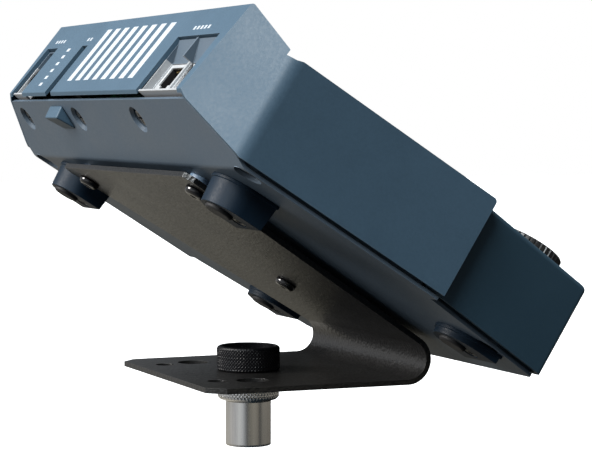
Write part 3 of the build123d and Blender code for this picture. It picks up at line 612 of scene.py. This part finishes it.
def build_stage():
    """A plain pale floor far below, which neither lights the object nor mirrors in it."""
    h = FLOOR_HALF
    data = bpy.data.meshes.new("floor")
    data.from_pydata([(-h, -h, FLOOR_Z), (h, -h, FLOOR_Z), (h, h, FLOOR_Z), (-h, h, FLOOR_Z)], [],
                     [(0, 1, 2, 3)])
    floor = bpy.data.objects.new("floor", data)
    bpy.context.scene.collection.objects.link(floor)
    made = bpy.data.materials.new("pale_floor")
    made.use_nodes = True
    kit = Nodes(made.node_tree)
    where = kit.add("TexCoord").outputs["Object"]
    tone = kit.ramp(kit.noise(where, 3.0, 2.0), [(0.3, (0.88, 0.88, 0.88)), (0.7, (0.90, 0.90, 0.90))])
    shader = kit.add("BsdfPrincipled", {"Base Color": tone, "Roughness": 0.9, "Specular IOR Level": 0.1})
    kit.add("OutputMaterial", {"Surface": shader.outputs[0]})
    data.materials.append(made)
    floor.visible_diffuse = False
    floor.visible_glossy = False


build_stage()

# studio light round the object: stops go from -X through -Y, +X and +Y back to -X
ABOVE = [(0.00, (0.50, 0.54, 0.60)), (0.14, (0.30, 0.33, 0.38)), (0.24, (0.05, 0.07, 0.09)),
         (0.55, (0.05, 0.06, 0.07)), (0.78, (0.34, 0.36, 0.39)), (1.00, (0.50, 0.54, 0.60))]
LEVEL = [(0.00, (0.56, 0.58, 0.62)), (0.07, (0.94, 0.98, 1.00)), (0.12, (0.70, 0.73, 0.78)),
         (0.165, (0.05, 0.05, 0.05)), (0.20, (0.27, 0.25, 0.20)), (0.27, (0.46, 0.43, 0.37)),
         (0.33, (0.34, 0.31, 0.26)), (0.355, (0.04, 0.04, 0.04)), (0.40, (0.36, 0.34, 0.30)),
         (0.62, (0.28, 0.26, 0.23)), (0.645, (0.02, 0.02, 0.02)), (0.69, (0.02, 0.02, 0.02)),
         (0.715, (0.36, 0.35, 0.33)), (1.00, (0.56, 0.58, 0.62))]
BELOW = [(0.00, (0.22, 0.22, 0.22)), (0.12, (0.08, 0.09, 0.10)), (0.25, (0.012, 0.022, 0.032)),
         (0.60, (0.010, 0.010, 0.010)), (0.69, (0.012, 0.012, 0.010)), (0.73, (0.34, 0.32, 0.26)),
         (0.748, (0.75, 0.73, 0.68)), (0.775, (0.36, 0.34, 0.29)), (0.86, (0.36, 0.34, 0.29)),
         (1.00, (0.22, 0.22, 0.22))]
BAND_LOW = 0.08  # sine of the elevation where the level band starts to fade
BAND_HIGH = 0.22


def build_world():
    """Softly graded light from all round, and plain white where the camera sees the background."""
    world = bpy.data.worlds.new("studio")
    bpy.context.scene.world = world
    world.use_nodes = True
    sky = Nodes(world.node_tree)
    direction = sky.add("TexCoord").outputs["Generated"]
    parts = sky.add("SeparateXYZ", {"Vector": direction}).outputs
    around = sky.add("Math", {0: parts["Y"], 1: parts["X"]}, operation="ARCTAN2").outputs[0]
    turn = sky.span(around, -math.pi, math.pi, 0.0, 1.0)
    above, level, below = (sky.ramp(turn, stops) for stops in (ABOVE, LEVEL, BELOW))
    lower = sky.mix(sky.span(parts["Z"], -BAND_HIGH, -BAND_LOW, 0.0, 1.0), below, level)
    glow = sky.mix(sky.span(parts["Z"], BAND_LOW, BAND_HIGH, 0.0, 1.0), lower, above)
    lit = sky.add("Background", {"Color": glow, "Strength": 1.0})
    seen = sky.add("Background", {"Color": (1, 1, 1, 1), "Strength": 1.0})
    path = sky.add("LightPath").outputs["Is Camera Ray"]
    both = sky.add("MixShader", {0: path, 1: lit.outputs[0], 2: seen.outputs[0]})
    sky.add("OutputWorld", {"Surface": both.outputs[0]})


build_world()


def sun(name, toward, strength, spread, color=(1, 1, 1)):
    """Soft distant light that shines from the direction toward."""
    data = bpy.data.lights.new(name, "SUN")
    data.energy = strength
    data.angle = math.radians(spread)
    data.color = color
    lamp = bpy.data.objects.new(name, data)
    lamp.rotation_mode = "QUATERNION"
    lamp.rotation_quaternion = Vector(toward).to_track_quat("Z", "Y")
    bpy.context.scene.collection.objects.link(lamp)


sun("key", (-0.84, 0.25, 0.46), 4.3, 24, (1.0, 0.97, 0.94))
sun("fill", (-0.48, -0.50, 0.72), 3.9, 28, (0.93, 0.98, 1.0))
sun("top", (0.1, 0.2, 1.0), 2.0, 60)

# the photograph's view: from behind and a little above the plate, past the near side
CAMERA_PLACE = (-0.3080, -0.7541, 0.1272)
CAMERA_FORWARD = (0.39824, 0.91580, -0.05208)
CAMERA_UP = (0.0193, 0.0484, 0.9986)
CAMERA_LENS = 129.2
CAMERA_SENSOR = 36.0


def place_camera():
    data = bpy.data.cameras.new("camera")
    data.sensor_width = CAMERA_SENSOR
    data.lens = CAMERA_LENS
    camera = bpy.data.objects.new("camera", data)
    forward = Vector(CAMERA_FORWARD).normalized()
    side = forward.cross(Vector(CAMERA_UP)).normalized()
    upward = side.cross(forward)
    turned = Matrix((side, upward, -forward)).transposed().to_4x4()
    camera.matrix_world = Matrix.Translation(CAMERA_PLACE) @ turned
    bpy.context.scene.collection.objects.link(camera)
    bpy.context.scene.camera = camera


place_camera()
bpy.context.scene.view_settings.view_transform = "Standard"
